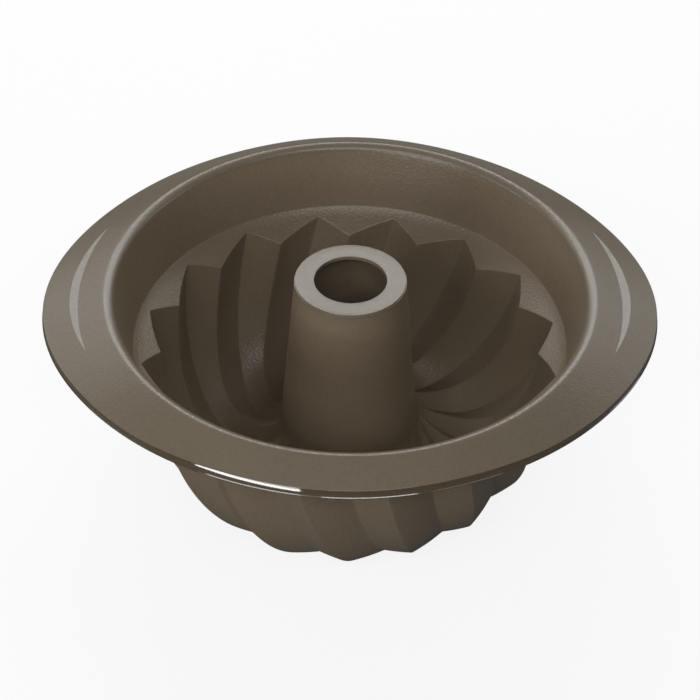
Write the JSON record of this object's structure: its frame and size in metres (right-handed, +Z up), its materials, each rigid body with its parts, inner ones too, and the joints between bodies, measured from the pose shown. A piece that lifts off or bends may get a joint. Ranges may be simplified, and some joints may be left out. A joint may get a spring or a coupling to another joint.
{
  "type": "silicone bundt mould",
  "caption": "Flexible bundt baking mould: round mouth, swirled saw-tooth flutes, sloping star-edged shoulder, hollow centre tube and a sloping rim that widens to a grip on either side.",
  "frame": {"origin": "centre of the centre tube's axis, on the level that the ridges' landings stand on", "axes": "+Z up along the centre tube, out of the mouth; +X towards the right-hand grip seen from the front; +Y towards the back"},
  "size_m": [0.2866, 0.2572, 0.1137],
  "materials": {
    "silicone_body": "satin taupe-brown silicone with a very fine pebbled skin",
    "silicone_inside": "satin taupe-brown silicone, smoother where the cake lies",
    "silicone_edge": "glossy taupe-brown silicone"
  },
  "bodies": {
    "root": {"tube_top_ring": "silicone_body", "centre_tube": "silicone_inside", "tube_foot": "silicone_inside", "trough_inner_slope": "silicone_inside", "trough_floor": "silicone_inside", "lower_flutes": "silicone_inside", "upper_flutes": "silicone_inside", "shoulder": "silicone_inside", "collar_wall": "silicone_inside", "mouth_lip": "silicone_body", "rim_flange": "silicone_body", "left_grip": "silicone_body", "right_grip": "silicone_body", "left_thumb_step": "silicone_body", "right_thumb_step": "silicone_body", "rim_edge_band": "silicone_edge"}
  },
  "joints": []
}
